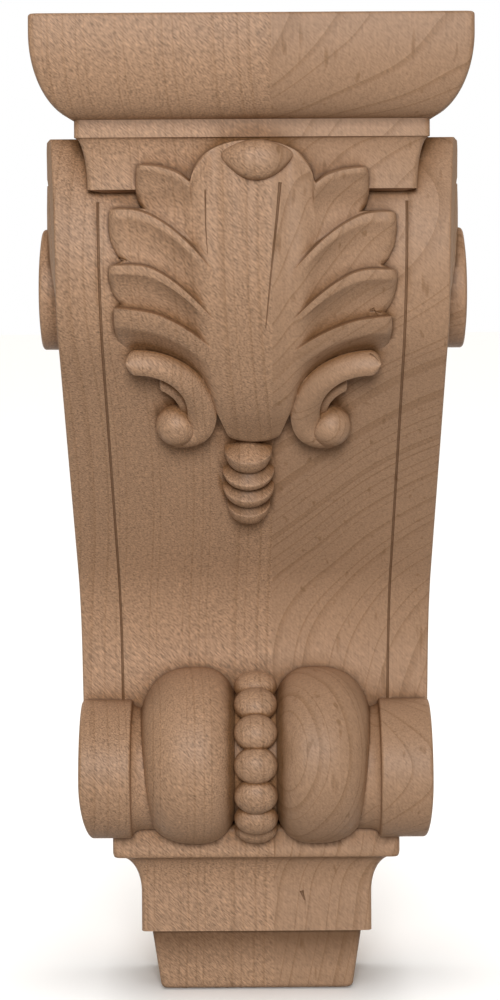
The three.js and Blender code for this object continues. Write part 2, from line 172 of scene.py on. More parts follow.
def blank():
    levels = [mix(BODY_BOTTOM, WAIST_LEVEL, step) for step in spread(WAIST_ROWS)]
    levels += [WAIST_LEVEL + HOLLOW_RADIUS * math.sin(FACE_SLOPE * step)
               for step in spread(HOLLOW_ROWS)[1:]]
    levels += [mix(SLOPE_LOW_LEVEL, SLOPE_TOP_LEVEL, step) for step in spread(SLOPE_ROWS)[1:]]
    top_turn = math.asin((BODY_TOP - VOLUTE_LEVEL) / VOLUTE_RADIUS)
    levels += [VOLUTE_LEVEL + VOLUTE_RADIUS * math.sin(mix(-FACE_SLOPE, top_turn, step))
               for step in spread(VOLUTE_ROWS)[1:]]
    sections = []
    for level in levels:
        front = face_depth(level)
        right = [(cheek_half(level, front * step), front * step)
                 for step in spread(CHEEK_STEPS)[:-1]]
        edge = cheek_half(level, front)
        right += [(edge - ARRIS_ROUND * (1 - math.cos(turn)),
                   front - ARRIS_ROUND * (1 - math.sin(turn))) for turn in quarter_turn(ARRIS_STEPS)]
        right += [((edge - ARRIS_ROUND) * (1 - step), front) for step in spread(FACE_STEPS)[1:-1]]
        sections.append(both_sides(right, level))
    return skin("blank", sections)


corbel = blank()

# The cap: a square head moulded on its front and two sides with a wide ovolo over a fillet.
# A shallow cove below the fillet makes the neck, which ends in a small undercut chamfer.
# It is worked on the same glued-up wood with a spindle moulder.
CAP_HALF, CAP_DEPTH = 76.2, 152.4
CAP_EDGE_ROUND, CORNER_ROUND = 1.2, 2.0
OVOLO_TOP, OVOLO_BULGE, OVOLO_HEIGHT = 361.8, 17.5, 29.8
FILLET_INSET, FILLET_BOTTOM = 14.5, 326.3
COVE_REACH = 4.2
NECK_BOTTOM, NECK_CHAMFER, NECK_UNDERCUT = 308.3, 1.0, 4.6
ROUND_STEPS, COVE_STEPS, OVOLO_STEPS = 5, 20, 32
SIDE_STEPS, FRONT_STEPS = 16, 20


def moulded(name, half, depth, rows):
    """A block moulded on its front and two sides, from rows of level and inset."""
    sections = []
    for level, inset in rows:
        width, front = half - inset, depth - inset
        right = [(width, (front - CORNER_ROUND) * step) for step in spread(SIDE_STEPS)[:-1]]
        right += [(width - CORNER_ROUND * (1 - math.cos(turn)),
                   front - CORNER_ROUND * (1 - math.sin(turn))) for turn in quarter_turn(ROUND_STEPS)]
        right += [((width - CORNER_ROUND) * (1 - step), front)
                  for step in spread(FRONT_STEPS)[1:-1]]
        sections.append(both_sides(right, level))
    return skin(name, sections)


def cap_rows():
    rows = [(NECK_BOTTOM - NECK_CHAMFER, FILLET_INSET + COVE_REACH + NECK_UNDERCUT)]
    for step in spread(COVE_STEPS):
        turn = (1 - step) * math.pi / 2
        rows.append((NECK_BOTTOM + (FILLET_BOTTOM - NECK_BOTTOM) * math.cos(turn),
                     FILLET_INSET + COVE_REACH * math.sin(turn)))
    ovolo_end = math.acos(1 - FILLET_INSET / OVOLO_BULGE)
    for step in spread(OVOLO_STEPS):
        turn = (1 - step) * ovolo_end
        rows.append((OVOLO_TOP - OVOLO_HEIGHT * math.sin(turn), OVOLO_BULGE * (1 - math.cos(turn))))
    rows += [(HEIGHT - CAP_EDGE_ROUND * (1 - math.sin(turn)), CAP_EDGE_ROUND * (1 - math.cos(turn)))
             for turn in quarter_turn(ROUND_STEPS)]
    return rows


cap = moulded("cap", CAP_HALF, CAP_DEPTH, cap_rows())

# The foot: a stepped plinth under the scroll, with a round torus, a cove, a square block and
# a tapered base, moulded on three sides like the cap.
PLINTH_HALF, PLINTH_DEPTH, PLINTH_TOP = 54.6, 52.0, 67.5
TORUS_BOTTOM, TORUS_ROUND, TORUS_QUIRK = 55.1, 2.6, 0.9
BLOCK_TOP, BLOCK_INSET = 39.2, 10.4
FOOT_TOP, FOOT_INSET, FOOT_TAPER, FOOT_EDGE_ROUND = 24.5, 14.1, 3.2, 2.6


def foot_rows():
    quarter = quarter_turn(ROUND_STEPS)
    rows = [(FOOT_EDGE_ROUND * (1 - math.cos(turn)),
             FOOT_INSET + FOOT_TAPER + FOOT_EDGE_ROUND * (1 - math.sin(turn))) for turn in quarter]
    rows += [(FOOT_TOP, FOOT_INSET), (FOOT_TOP, BLOCK_INSET)]
    rows += [(BLOCK_TOP + (TORUS_BOTTOM - BLOCK_TOP) * math.sin(turn),
              TORUS_QUIRK + (BLOCK_INSET - TORUS_QUIRK) * math.cos(turn))
             for turn in quarter_turn(COVE_STEPS)]
    rows += [(TORUS_BOTTOM + TORUS_ROUND * (1 - math.cos(turn)), TORUS_QUIRK * (1 - math.sin(turn)))
             for turn in quarter]
    rows += [(PLINTH_TOP - TORUS_ROUND * (1 - math.sin(turn)), TORUS_ROUND * (1 - math.cos(turn)))
             for turn in quarter]
    return rows


foot = moulded("foot", PLINTH_HALF, PLINTH_DEPTH, foot_rows())
combine(corbel, [cap, foot])

# The cut lines and eyes: a veiner cut runs down each edge of the face, a spiral winds round
# each cheek, and a turned button with a low crown is the eye of the volute.
LINE_INSET, LINE_WIDTH, LINE_LOW, LINE_HIGH, LINE_STEPS = 15.4, 1.05, 100.0, 304.0, 110
SPIRAL_WIDTH, SPIRAL_LIFT, SPIRAL_TURNS, SPIRAL_STEPS = 2.6, 0.2, 1.25, 150
SPIRAL_START, SPIRAL_END = 45.0, 26.5
EYE_DEPTH, EYE_LEVEL, EYE_RADIUS, EYE_STEPS = 70.0, 272.1, 22.4, 72
EYE_RIM_HALF, EYE_CROWN, EYE_EDGE_ROUND = 78.0, 1.2, 1.2
EYE_CROWN_RINGS = (0.8, 0.55, 0.3, 0.02)
GOUGE_SIDES, NEARLY_ALONG = 10, 0.1


def turned(name, profile, depth, level, steps, trim=None):
    """A form turned about a line across the corbel, from a profile of radius and x."""
    sections = []
    for radius, x in profile:
        ring = []
        for number in range(steps):
            turn = number * 2 * math.pi / steps
            rise = radius * math.sin(turn)
            along = trim(x, rise) if trim else x
            ring.append(at(along, depth + radius * math.cos(turn), level + rise))
        sections.append(ring)
    return skin(name, sections)


def gouge(name, points, width, end_width=None):
    """A round cutter that follows points, to cut a line in a surface."""
    path = np.array(points)
    along = np.gradient(path, axis=0)
    along /= np.linalg.norm(along, axis=1)[:, None]
    radii = np.linspace(width, end_width or width, len(path)) / 2 * TO_METRES
    turns = [2 * math.pi * side / GOUGE_SIDES for side in range(GOUGE_SIDES)]
    sections = []
    for place, ahead, radius in zip(path, along, radii):
        first = np.cross(ahead, (1.0, 0.0, 0.0))
        if np.linalg.norm(first) < NEARLY_ALONG:
            first = np.cross(ahead, (0.0, 0.0, 1.0))
        first /= np.linalg.norm(first)
        second = np.cross(ahead, first)
        sections.append([tuple(place + radius * (first * math.cos(turn) + second * math.sin(turn)))
                         for turn in turns])
    return skin(name, sections)


def face_line(side):
    levels = [mix(LINE_LOW, LINE_HIGH, step) for step in spread(LINE_STEPS)]
    return gouge("face_line", [at(side * (face_half(level) - LINE_INSET), face_depth(level), level)
                               for level in levels], LINE_WIDTH)


def spiral(side):
    points = []
    for step in spread(SPIRAL_STEPS):
        turn = -FACE_SLOPE + step * SPIRAL_TURNS * 2 * math.pi
        radius = mix(SPIRAL_START, SPIRAL_END, step)
        depth = EYE_DEPTH + radius * math.cos(turn)
        level = EYE_LEVEL + radius * math.sin(turn)
        points.append(at(side * (cheek_half(level, depth) + SPIRAL_LIFT), depth, level))
    return gouge("spiral", points, SPIRAL_WIDTH)


def eye(side):
    profile = [(EYE_RADIUS, BODY_HALF_LOW)]
    profile += [(EYE_RADIUS - EYE_EDGE_ROUND * (1 - math.cos(turn)),
                 EYE_RIM_HALF - EYE_EDGE_ROUND * (1 - math.sin(turn)))
                for turn in quarter_turn(ROUND_STEPS)]
    profile += [(EYE_RADIUS * ring, EYE_RIM_HALF + EYE_CROWN * (1 - ring ** 2))
                for ring in EYE_CROWN_RINGS]
    return turned("eye", [(radius, side * x) for radius, x in profile],
                  EYE_DEPTH, EYE_LEVEL, EYE_STEPS)


for side in (-1, 1):
    combine(corbel, [face_line(side), spiral(side)], "DIFFERENCE")
    combine(corbel, [eye(side)])

# The roll: two egg-shaped swellings and two end discs, turned and let into the waist as one
# form, with a string of beads wound round the middle.
ROLL_DEPTH, EGG_LEVEL, EGG_RADIUS, EGG_CENTRE = 48.0, 93.7, 33.1, 22.0
EGG_INNER, EGG_OUTER = (17.2, 2.6), (23.2, 2.7)
EGG_ROWS, EGG_STEPS, EGG_POLE = 48, 96, 0.004
BAND_RADIUS, BAND_HALF, BAND_ROWS = 23.0, 8.0, 16
END_LEVEL, END_RADIUS, END_INNER, END_OUTER = 88.6, 25.9, 46.8, 66.2
END_ROUND, END_TAPER_LEFT, END_TAPER_RIGHT = 1.4, 3.8, 1.7
END_ROWS, END_ROUND_STEPS, COLLAR_ROWS, ROLL_STEPS = 8, 6, 10, 128
COLLAR_FALL, COLLAR_STEP, COLLAR_REACH = 3.2, 1.1, 5.0
BEAD_HALF, BEAD_REACH, BEAD_LENGTH, BEAD_CIRCLE = 8.2, 5.8, 7.0, 27.4
BEAD_PITCH, BEAD_COUNT, BEAD_TURN = math.radians(25), 7, math.radians(3.4)
BEAD_SEGMENTS, BEAD_RINGS = 40, 26


def egg(side):
    profile = []
    for step in spread(EGG_ROWS):
        along = 2 * step - 1
        turn = abs(along) * math.pi / 2
        length, power = EGG_INNER if along < 0 else EGG_OUTER
        radius = EGG_RADIUS * max(math.cos(turn), EGG_POLE) ** (2 / power)
        x = EGG_CENTRE + math.copysign(length * math.sin(turn) ** (2 / power), along)
        profile.append((radius, side * x))
    return turned("egg", profile, ROLL_DEPTH, EGG_LEVEL, EGG_STEPS)


def end_disc(side):
    """A disc with a hollow collar towards the egg; its lower outer edge tapers."""
    profile = [(END_RADIUS - COLLAR_FALL, EGG_CENTRE)]
    profile += [(END_RADIUS - mix(COLLAR_STEP, COLLAR_FALL, math.cos(turn)),
                 END_INNER - COLLAR_REACH * (1 - math.sin(turn)))
                for turn in quarter_turn(COLLAR_ROWS)]
    profile += [(END_RADIUS - COLLAR_STEP * (1 - math.sin(turn)),
                 END_INNER + COLLAR_STEP * (1 - math.cos(turn)))
                for turn in quarter_turn(END_ROUND_STEPS)]
    profile += [(END_RADIUS, mix(END_INNER + COLLAR_STEP, END_OUTER - END_ROUND, step))
                for step in spread(END_ROWS)]
    profile += [(END_RADIUS - END_ROUND * (1 - math.cos(turn)),
                 END_OUTER - END_ROUND * (1 - math.sin(turn)))
                for turn in quarter_turn(END_ROUND_STEPS)]
    taper = END_TAPER_RIGHT if side > 0 else END_TAPER_LEFT

    def trim(x, rise):
        share = max(abs(x) - END_INNER, 0) / (END_OUTER - END_INNER)
        return x - side * taper * share * (min(rise, 0) / END_RADIUS) ** 2

    return turned("end_disc", [(radius, side * x) for radius, x in profile],
                  ROLL_DEPTH, END_LEVEL, ROLL_STEPS, trim)


def bead_band():
    profile = [(BAND_RADIUS, mix(-BAND_HALF, BAND_HALF, step)) for step in spread(BAND_ROWS)]
    return turned("bead_band", profile, ROLL_DEPTH, EGG_LEVEL, ROLL_STEPS)


def bead_tree():
    """Beads set round an axis: each is an ellipsoid turned to face away from it."""
    tree = bpy.data.node_groups.new("bead_string", "GeometryNodeTree")
    face, nodes, link = tree.interface, tree.nodes, tree.links.new
    sockets = {}
    for label, kind in (("Bead count", "Int"), ("Circle radius", "Float"), ("First turn", "Float"),
                        ("Bead pitch", "Float"), ("Bead size", "Vector"), ("Axis centre", "Vector"),
                        ("Axis turn", "Rotation"), ("Finish", "Material")):
        made = face.new_socket(label, in_out="INPUT", socket_type="NodeSocket" + kind)
        sockets[label] = made.identifier
    face.new_socket("Beads", in_out="OUTPUT", socket_type="NodeSocketGeometry")
    entry = nodes.new("NodeGroupInput")

    def sum_node(operation, first, second=None):
        made = nodes.new("ShaderNodeMath")
        made.operation = operation
        link(first, made.inputs[0])
        if second is not None:
            link(second, made.inputs[1])
        return made.outputs[0]

    number = nodes.new("GeometryNodeInputIndex").outputs["Index"]
    turn = sum_node("ADD", sum_node("MULTIPLY", number, entry.outputs["Bead pitch"]),
                    entry.outputs["First turn"])
    radius = entry.outputs["Circle radius"]
    place = nodes.new("ShaderNodeCombineXYZ")
    link(sum_node("MULTIPLY", sum_node("COSINE", turn), radius), place.inputs["X"])
    link(sum_node("MULTIPLY", sum_node("SINE", turn), radius), place.inputs["Y"])
    facing = nodes.new("ShaderNodeCombineXYZ")
    link(turn, facing.inputs["Z"])
    row = nodes.new("GeometryNodeMeshLine")
    link(entry.outputs["Bead count"], row.inputs["Count"])
    ring = nodes.new("GeometryNodeSetPosition")
    link(row.outputs["Mesh"], ring.inputs["Geometry"])
    link(place.outputs["Vector"], ring.inputs["Position"])
    bead = nodes.new("GeometryNodeMeshUVSphere")
    bead.inputs["Segments"].default_value = BEAD_SEGMENTS
    bead.inputs["Rings"].default_value = BEAD_RINGS
    string = nodes.new("GeometryNodeInstanceOnPoints")
    link(ring.outputs["Geometry"], string.inputs["Points"])
    link(bead.outputs["Mesh"], string.inputs["Instance"])
    link(facing.outputs["Vector"], string.inputs["Rotation"])
    link(entry.outputs["Bead size"], string.inputs["Scale"])
    stand = nodes.new("GeometryNodeTransform")
    link(string.outputs["Instances"], stand.inputs["Geometry"])
    link(entry.outputs["Axis turn"], stand.inputs["Rotation"])
    link(entry.outputs["Axis centre"], stand.inputs["Translation"])
    real = nodes.new("GeometryNodeRealizeInstances")
    link(stand.outputs["Geometry"], real.inputs["Geometry"])
    finish = nodes.new("GeometryNodeSetMaterial")
    link(real.outputs["Geometry"], finish.inputs["Geometry"])
    link(entry.outputs["Finish"], finish.inputs["Material"])
    link(finish.outputs["Geometry"], nodes.new("NodeGroupOutput").inputs["Beads"])
    return tree, sockets


def bead_string(values):
    tree, sockets = bead_tree()
    holder = added("beads", bpy.data.meshes.new("beads"))
    string = holder.modifiers.new("beads", "NODES")
    string.node_group = tree
    for label, value in values.items():
        string[sockets[label]] = value
    shaped = worked(holder)
    holder.modifiers.remove(string)
    holder.data = shaped
    return holder


maple = bpy.data.materials.new("bare_maple")
for side in (-1, 1):
    combine(corbel, [egg(side), end_disc(side)])
beads = bead_string({
    "Bead count": BEAD_COUNT,
    "Circle radius": BEAD_CIRCLE * TO_METRES,
    "First turn": BEAD_TURN - BEAD_PITCH * (BEAD_COUNT - 1) / 2,
    "Bead pitch": BEAD_PITCH,
    "Bead size": [size * TO_METRES for size in (BEAD_REACH, BEAD_LENGTH, BEAD_HALF)],
    "Axis centre": at(0, ROLL_DEPTH, EGG_LEVEL),
    "Axis turn": Matrix(((0, 0, -1), (-1, 0, 0), (0, 1, 0))).to_euler(),
    "Finish": maple,
})
combine(corbel, [bead_band(), beads])

# The leaf: an acanthus in one sheet with the wood behind it, its stem flush with its lobes.
# Each lobe overlaps the next: a steep wall rises from a crease to a flat crest, and a hollow
# face falls away to the crease below. The carver cut it with gouges over the volute and neck.
DOME_FOOT, DOME_HALF, DOME_RISE, DOME_POWER = 311.2, 21.3, 13.8, 2.2
CREASES = (
    ((21.3, 311.2), (24.7, 313.9), (30.5, 316.2), (38.3, 317.2), (52.0, 317.4)),
    ((0.0, 258.0), (10.0, 275.0), (18.7, 286.4), (26.8, 294.4), (37.8, 301.0), (52.0, 302.4)),
    ((0.0, 243.0), (8.0, 256.0), (16.0, 266.0), (20.8, 271.1), (34.2, 281.1), (52.0, 282.6)),
    ((0.0, 231.0), (7.0, 244.5), (14.3, 253.0), (22.0, 259.5), (30.4, 264.3), (52.0, 268.4)),
)
LOWEST_LINE = ((9.8, 221.4), (12.4, 227.6), (16.0, 234.0), (22.0, 240.0), (30.0, 244.8), (52.0, 248.6))
LOBES = len(CREASES)
CALYX_HALF, CALYX_BOTTOM, CALYX_RISE = 9.8, 217.8, 3.6
CREASE_DROP_RIGHT, CREASE_DROP_WIDE = (1.2, 1.4, 1.9, 3.4, 0.6), 35.0
CREST_SHARE = (0.14, 0.2, 0.24, 0.38)
CREST_WALL, CREST_FALL, HOLLOW_POWER = 0.045, 0.1, 2.6
STEM_LINE = ((217.5, 101.0), (227.0, 113.0), (248.0, 128.5), (271.0, 138.0), (296.0, 141.0),
             (325.0, 141.5))
LOBE_WIDTH, LOBE_CAMBER, LOBE_RELIEF, LOBE_FADE = 50.0, 1.7, 2.5, (13.0, 24.0)
LOBE_EDGE_RELIEF, LOBE_EDGE_FALL, LOBE_EDGE_SHARE = 4.8, 1.3, 0.95
LOWEST_FALL, LOWEST_FALL_POWER, LOWEST_FADE = 5.5, 1.7, (10.0, 20.0)
NECK_RELIEF_DEPTH, NECK_BLEND = 137.4, (300.0, 309.0)
FLUTE_COUNT, FLUTE_DEPTH, FLUTE_FADE, FLUTE_LEVELS = 3, 0.9, (12.0, 20.0), (228.0, 262.0)
LEAF_BURY, RIM_OUT, RIM_FALL = 6.0, 0.25, 1.2
OUTLINE = (
    (0.0, 38.4), (0.05, 39.4), (0.2, 40.2), (0.6, 40.4), (0.85, 39.6), (0.96, 38.2),
    (1.0, 46.6), (1.02, 48.6), (1.06, 49.6), (1.35, 50.0), (1.6, 49.4), (1.85, 47.2), (1.97, 45.0),
    (2.0, 47.6), (2.03, 49.2), (2.1, 49.8), (2.4, 49.8), (2.7, 48.8), (2.9, 46.8), (2.98, 45.6),
    (3.0, 46.8), (3.05, 48.2), (3.3, 48.4), (3.6, 47.8), (3.85, 45.6), (4.0, 43.4),
)
LOBE_ROWS = (0.0, 0.015, 0.03, 0.045, 0.065, 0.09, 0.12, 0.15, 0.18, 0.21, 0.24, 0.27, 0.3, 0.34,
             0.38, 0.43, 0.48, 0.54, 0.61, 0.68, 0.75, 0.82, 0.89, 0.95)
LEAF_STEPS = 132


def curve_through(points):
    """A smooth line through points, as a function of the first value."""
    places = np.array(points, float)
    slopes = np.gradient(places[:, 1], places[:, 0])

    def value(place):
        place = min(max(place, places[0, 0]), places[-1, 0])
        low = int(min(max(np.searchsorted(places[:, 0], place) - 1, 0), len(places) - 2))
        gap = places[low + 1, 0] - places[low, 0]
        share = (place - places[low, 0]) / gap
        rest = 1 - share
        return (places[low, 1] * (1 + 2 * share) * rest ** 2
                + slopes[low] * gap * share * rest ** 2
                + places[low + 1, 1] * share ** 2 * (3 - 2 * share)
                - slopes[low + 1] * gap * share ** 2 * rest)
    return value


crease_curves = [curve_through(points) for points in CREASES + (LOWEST_LINE,)]
stem_depth = curve_through(STEM_LINE)


def crease_level(number, x):
    away = abs(x)
    if number == 0 and away < DOME_HALF:
        return DOME_FOOT + DOME_RISE * math.sqrt(1 - (away / DOME_HALF) ** DOME_POWER)
    if number == LOBES and away < CALYX_HALF:
        return CALYX_BOTTOM + CALYX_RISE * (1 - math.sqrt(1 - (away / CALYX_HALF) ** 2))
    return crease_curves[number](away) - CREASE_DROP_RIGHT[number] * ease(x, 0, CREASE_DROP_WIDE)


def lobe_profile(lobe, share):
    crest = CREST_SHARE[lobe]
    if share < CREST_WALL:
        return -1 + 2 * math.sin(share / CREST_WALL * math.pi / 2)
    if share < crest:
        return 1 - CREST_FALL * ((share - CREST_WALL) / (crest - CREST_WALL)) ** 2
    rest = (1 - share) / (1 - crest)
    return -1 + (2 - CREST_FALL) * rest ** HOLLOW_POWER


def leaf_depth(x, level, lobe, share, spread_share):
    away = abs(x)
    edge = mix(face_depth(level) + LOBE_EDGE_RELIEF, NECK_RELIEF_DEPTH, ease(level, *NECK_BLEND))
    depth = mix(stem_depth(level), edge, min(away / LOBE_WIDTH, 1.0) ** LOBE_CAMBER)
    depth += LOBE_RELIEF * lobe_profile(lobe, share) * ease(away, *LOBE_FADE)
    flute = math.cos(x / FLUTE_FADE[1] * FLUTE_COUNT * math.pi / 2) ** 2
    depth -= FLUTE_DEPTH * flute * (1 - ease(away, *FLUTE_FADE)) * ease(level, *FLUTE_LEVELS)
    if lobe == LOBES - 1:
        depth -= LOWEST_FALL * share ** LOWEST_FALL_POWER * ease(away, *LOWEST_FADE)
    past_edge = max((spread_share - LOBE_EDGE_SHARE) / (1 - LOBE_EDGE_SHARE), 0)
    return depth - LOBE_EDGE_FALL * past_edge ** 2


def sheet(name, top, base):
    """A closed sheet between rows of points in front and as many behind."""
    rows, width = len(top), len(top[0])
    points = [point for side in (top, base) for row in side for point in row]
    count = rows * width
    faces = []
    for row in range(rows - 1):
        for place in range(width - 1):
            near = (row * width + place, row * width + place + 1,
                    (row + 1) * width + place + 1, (row + 1) * width + place)
            faces.append(near)
            faces.append(tuple(count + corner for corner in reversed(near)))
    rim = list(range(width))
    rim += [row * width + width - 1 for row in range(1, rows)]
    rim += [(rows - 1) * width + place for place in range(width - 2, -1, -1)]
    rim += [row * width for row in range(rows - 2, 0, -1)]
    for corner, after in zip(rim, rim[1:] + rim[:1]):
        faces.append((corner, count + corner, count + after, after))
    return solid(name, points, faces)


def leaf_sheet():
    places = [(lobe, share) for lobe in range(LOBES) for share in LOBE_ROWS] + [(LOBES - 1, 1.0)]
    outline_at, outline_half = zip(*OUTLINE)
    rows = []
    for lobe, share in places:
        half = float(np.interp(lobe + share, outline_at, outline_half))
        row = []
        for step in spread(LEAF_STEPS):
            along = 2 * step - 1
            x = along * half
            level = mix(crease_level(lobe, x), crease_level(lobe + 1, x), share)
            row.append((x, leaf_depth(x, level, lobe, share, abs(along)), level))
        (left, left_depth, left_level), (right, right_depth, right_level) = row[0], row[-1]
        row.insert(0, (left - RIM_OUT, left_depth - RIM_FALL, left_level))
        row.append((right + RIM_OUT, right_depth - RIM_FALL, right_level))
        rows.append(row)
    rows.insert(0, [(x, depth - RIM_FALL, level + RIM_OUT) for x, depth, level in rows[0]])
    rows.append([(x, depth - RIM_FALL, level - RIM_OUT) for x, depth, level in rows[-1]])
    top = [[at(x, depth, level) for x, depth, level in row] for row in rows]
    base = [[at(x, min(face_depth(min(level, BODY_TOP - 1)), depth) - LEAF_BURY, level)
             for x, depth, level in row] for row in rows]
    return sheet("leaf", top, base)


LIP_X, LIP_HALF, LIP_LOW, LIP_CORNER, LIP_HIGH = 1.6, 13.4, 311.0, 320.4, 325.4
LIP_DEPTH, LIP_RELIEF, LIP_BURY, LIP_CORNER_GAP = 141.3, 4.6, 2.0, 0.2
LIP_ROLL_POWER, LIP_ARC_POWER, LIP_SIDE_POWER = 2.5, 2.2, 2.6
LIP_ROWS, LIP_STEPS = 40, 48


def lip():
    """The rolled tip of the leaf: it grows out of the top edge and ends in an undercut arc."""
    top, base = [], []
    for turn in spread(LIP_ROWS):
        down = (1 - math.cos(turn * math.pi)) / 2
        roll = (1 - abs(2 * down - 1) ** LIP_ROLL_POWER) ** (1 / LIP_ROLL_POWER)
        front, behind = [], []
        for step in spread(LIP_STEPS):
            along = 2 * step - 1
            high = mix(LIP_CORNER, LIP_HIGH, 1 - along ** 2)
            low = mix(LIP_LOW, LIP_CORNER - LIP_CORNER_GAP, abs(along) ** LIP_ARC_POWER)
            level = mix(high, low, down)
            rise = (LIP_RELIEF + LIP_BURY) * roll * (1 - abs(along) ** LIP_SIDE_POWER)
            front.append(at(LIP_X + along * LIP_HALF, LIP_DEPTH - LIP_BURY + rise, level))
            behind.append(at(LIP_X + along * LIP_HALF, LIP_DEPTH - LEAF_BURY, level))
        top.append(front)
        base.append(behind)
    return sheet("lip", top, base)


BALL_X, BALL_LEVEL, BALL_RADIUS, BALL_RELIEF = 27.6, 224.2, 7.5, 5.0
BALL_ROWS, BALL_STEPS, BALL_POLE = 28, 56, 0.01
CURL_INNER, CURL_OUTER, CURL_POWER = 6.4, 29.0, 2.9
CURL_START, CURL_FINISH, CURL_DROP_RIGHT = math.radians(126), math.radians(-95), 0.6
CURL_HALF, CURL_WIDE, CURL_THIN, CURL_WIDENS, CURL_NARROWS = 4.4, 5.2, 1.8, (0.1, 0.5), (0.55, 1)
CURL_RELIEF, CURL_TILT, CURL_CROWN, CURL_CROWN_POWER = 11.2, -0.9, 2.2, 2.6
CURL_BLUNT, CURL_POINT = 0.03, 0.99
CURL_ROWS, CURL_CROWDING, CURL_STEPS, CURL_AHEAD = 90, 1.5, 16, 0.01
LEDGE_IN, LEDGE_RELIEF, LEDGE_BEGIN = 5.4, 6.0, 0.09


def curl_level(side):
    return BALL_LEVEL - (CURL_DROP_RIGHT if side > 0 else 0)


def curl(side, inward=0.0, relief=CURL_RELIEF, begin=0.0):
    """A leaf edge that rolls round its ball, or, set inward and lower, the ledge inside it."""
    centre = curl_level(side)

    def path(step):
        turn = mix(CURL_START, CURL_FINISH, step)
        radius = mix(CURL_INNER, CURL_OUTER, max(1 - step, 0) ** CURL_POWER) - inward * (1 - step)
        return np.array((BALL_X - radius * math.cos(turn), centre + radius * math.sin(turn)))

    sections = []
    for even in spread(CURL_ROWS):
        step = mix(begin, 1.0, even ** CURL_CROWDING)
        middle = path(step)
        along = path(step + CURL_AHEAD) - path(step - CURL_AHEAD)
        along /= np.linalg.norm(along)
        blunt = max(CURL_BLUNT + begin - step, 0) / CURL_BLUNT
        half = mix(mix(CURL_HALF, CURL_WIDE, ease(step, *CURL_WIDENS)), CURL_THIN,
                   ease(step, *CURL_NARROWS))
        half *= math.sqrt(1 - CURL_POINT * blunt ** 2)
        face = face_depth(middle[1])

        def across_at(across, depth):
            return at(side * (middle[0] - along[1] * half * across), depth,
                      middle[1] + along[0] * half * across)

        ring = []
        for place in spread(CURL_STEPS):
            across = 1 - 2 * place
            crown = CURL_CROWN * abs(across) ** CURL_CROWN_POWER
            ring.append(across_at(across, face + relief - CURL_TILT * across - crown))
        ring += [across_at(across, face - LEAF_BURY) for across in (-1, 1)]
        sections.append(ring)
    return skin("curl", sections)


def curl_ball(side):
    centre = curl_level(side)
    profile = [(BALL_RADIUS * max(math.sin(step * math.pi), BALL_POLE),
                side * BALL_X - BALL_RADIUS * math.cos(step * math.pi)) for step in spread(BALL_ROWS)]
    return turned("curl_ball", profile, face_depth(centre) + BALL_RELIEF, centre, BALL_STEPS)


combine(corbel, [leaf_sheet(), lip()])
for side in (-1, 1):
    combine(corbel, [curl(side), curl(side, LEDGE_IN, LEDGE_RELIEF, LEDGE_BEGIN), curl_ball(side)])

# The drop: a short string of cup-shaped beads that hangs under the leaf along the sloping
# face, each with a crisp ridge between a bevelled top and a hollow underside.
DROP_X, DROP_RELIEF, DROP_TOP = -2.0, 1.8, 217.6
DROP_CUPS = ((10.4, 8.7, 5.4), (7.8, 9.4, 5.4), (9.0, 9.4, 5.2), (9.4, 7.9, 4.8))
DROP_LEDGE, DROP_ROUND, DROP_POLE = 3.2, 0.4, 0.3
DROP_ROUND_STEPS, DROP_HOLLOW_STEPS, DROP_STEPS = 3, 8, 72


def drop():
    down = np.array((0.0, math.sin(FACE_SLOPE), -math.cos(FACE_SLOPE)))
    across = np.array((1.0, 0.0, 0.0))
    outward = np.array((0.0, -math.cos(FACE_SLOPE), -math.sin(FACE_SLOPE)))
    start = np.array(at(DROP_X, face_depth(DROP_TOP) + DROP_RELIEF, DROP_TOP))
    profile, run = [(DROP_POLE, 0.0)], 0.0
    for length, rim, bottom in DROP_CUPS:
        profile += [(rim - DROP_ROUND * (1 - math.sin(turn)),
                     run + DROP_LEDGE + DROP_ROUND * (1 - math.cos(turn)))
                    for turn in quarter_turn(DROP_ROUND_STEPS)]
        profile += [(mix(bottom, rim, math.sqrt(1 - step ** 2)),
                     run + mix(DROP_LEDGE + DROP_ROUND, length, step))
                    for step in spread(DROP_HOLLOW_STEPS)[1:]]
        run += length
    profile.append((DROP_POLE, run + DROP_ROUND))
    turns = [2 * math.pi * number / DROP_STEPS for number in range(DROP_STEPS)]
    sections = []
    for radius, along in profile:
        middle = start + down * along * TO_METRES
        sections.append([tuple(middle + TO_METRES * radius * (
            across * math.cos(turn) + outward * math.sin(turn))) for turn in turns])
    return skin("drop", sections)


combine(corbel, [drop()])

# The knife marks: veins down the stem, and the nicks and the small split that the photograph
# shows, each a shallow cut in the surface that the carving has there.
MARKS = (
    ("vein", 1.2, ((9.6, 310.4), (8.4, 298.0), (6.6, 282.0), (4.4, 260.0))),
    ("vein", 0.7, ((-16.2, 308.0), (-16.2, 296.0), (-15.6, 286.0))),
    ("nick", 0.9, ((-46.8, 284.6), (-45.0, 284.2), (-43.6, 283.6))),
    ("nick", 1.0, ((40.6, 265.6), (42.4, 265.4), (44.6, 264.8))),
    ("nick", 0.7, ((41.6, 266.6), (42.8, 265.2), (43.4, 263.8))),
    ("nick", 0.9, ((40.8, 250.6), (42.4, 249.6), (43.8, 248.0))),
    ("split", 1.6, ((17.3, 39.8), (17.8, 38.2), (18.6, 36.2))),
)
MARK_START, MARK_STEPS, MARK_TAPER = 300.0, 6, 0.35
SLIVER, LOOSE_POINTS = 0.000002, 1000


